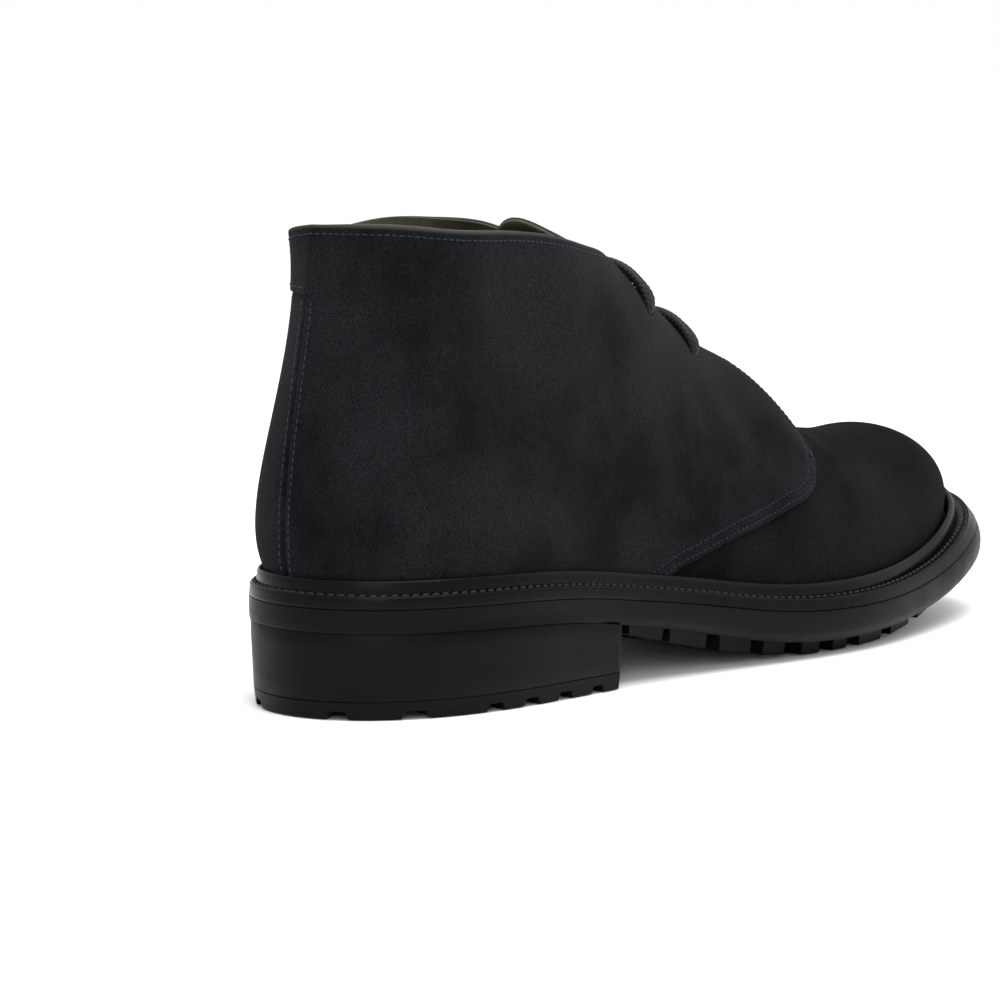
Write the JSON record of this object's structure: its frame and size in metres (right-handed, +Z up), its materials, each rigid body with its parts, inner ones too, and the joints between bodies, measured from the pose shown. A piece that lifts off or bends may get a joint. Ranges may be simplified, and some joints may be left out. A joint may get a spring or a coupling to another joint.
{
  "type": "chukka boot",
  "caption": "Right ankle-high chukka boot in dark suede with a leather lining, a storm welt, a lugged rubber sole and a block heel, laced through open facings.",
  "frame": {"origin": "middle of the boot's own box on the floor", "axes": "+X to the toe, +Y to the medial (inner) side, +Z up; the boot stands on its sole at z = 0"},
  "size_m": [0.3074, 0.103, 0.1369],
  "materials": {
    "suede": "matt suede nap",
    "suede_tongue": "matt suede nap",
    "insole_leather": "smooth matt",
    "welt_rubber": "satin",
    "sole_rubber": "satin",
    "lace": "waxed braid"
  },
  "bodies": {
    "root": {"upper": "suede", "tongue": "suede_tongue", "insole": "insole_leather", "welt": "welt_rubber", "outsole": "sole_rubber", "heel": "sole_rubber", "top_lift": "sole_rubber", "lace_bar_low": "lace", "lace_bar_high": "lace"}
  },
  "joints": []
}
